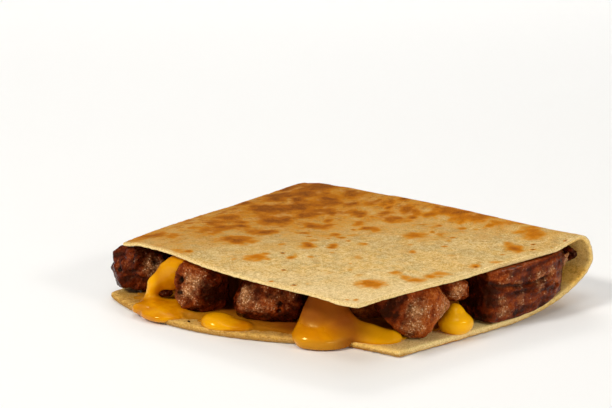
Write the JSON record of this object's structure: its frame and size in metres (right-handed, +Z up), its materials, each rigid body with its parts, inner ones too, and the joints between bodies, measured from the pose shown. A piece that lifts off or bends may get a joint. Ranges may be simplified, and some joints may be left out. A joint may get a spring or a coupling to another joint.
{
  "type": "quesadilla",
  "caption": "Folded flour tortilla piece with an open rim and two cut sides, filled with steak chunks and melted yellow cheese that runs over the edge.",
  "frame": {"origin": "centre of the footprint's box, on the surface the piece rests on", "axes": "+Z up; +X along the fold towards the cut that shows the large steak block; +Y from the open rim towards the fold"},
  "size_m": [0.1345, 0.1244, 0.0254],
  "materials": {
    "tortilla": "dry floury flour tortilla, cream with golden-brown griddle spots",
    "cheese": "melted yellow-orange cheese, glossy, slightly translucent",
    "beef": "grilled steak, dark brown, fibrous, greasy gloss"
  },
  "bodies": {
    "root": {"tortilla": "tortilla", "cheese": "cheese", "beef_corner": "beef", "beef_rim_left": "beef", "beef_rim_middle": "beef", "beef_rim_behind": "beef", "beef_cut_tip": "beef", "beef_cut_small": "beef", "beef_cut_block": "beef", "beef_cut_fold": "beef", "beef_far_a": "beef", "beef_far_b": "beef", "beef_far_c": "beef", "beef_inner": "beef"}
  },
  "joints": []
}
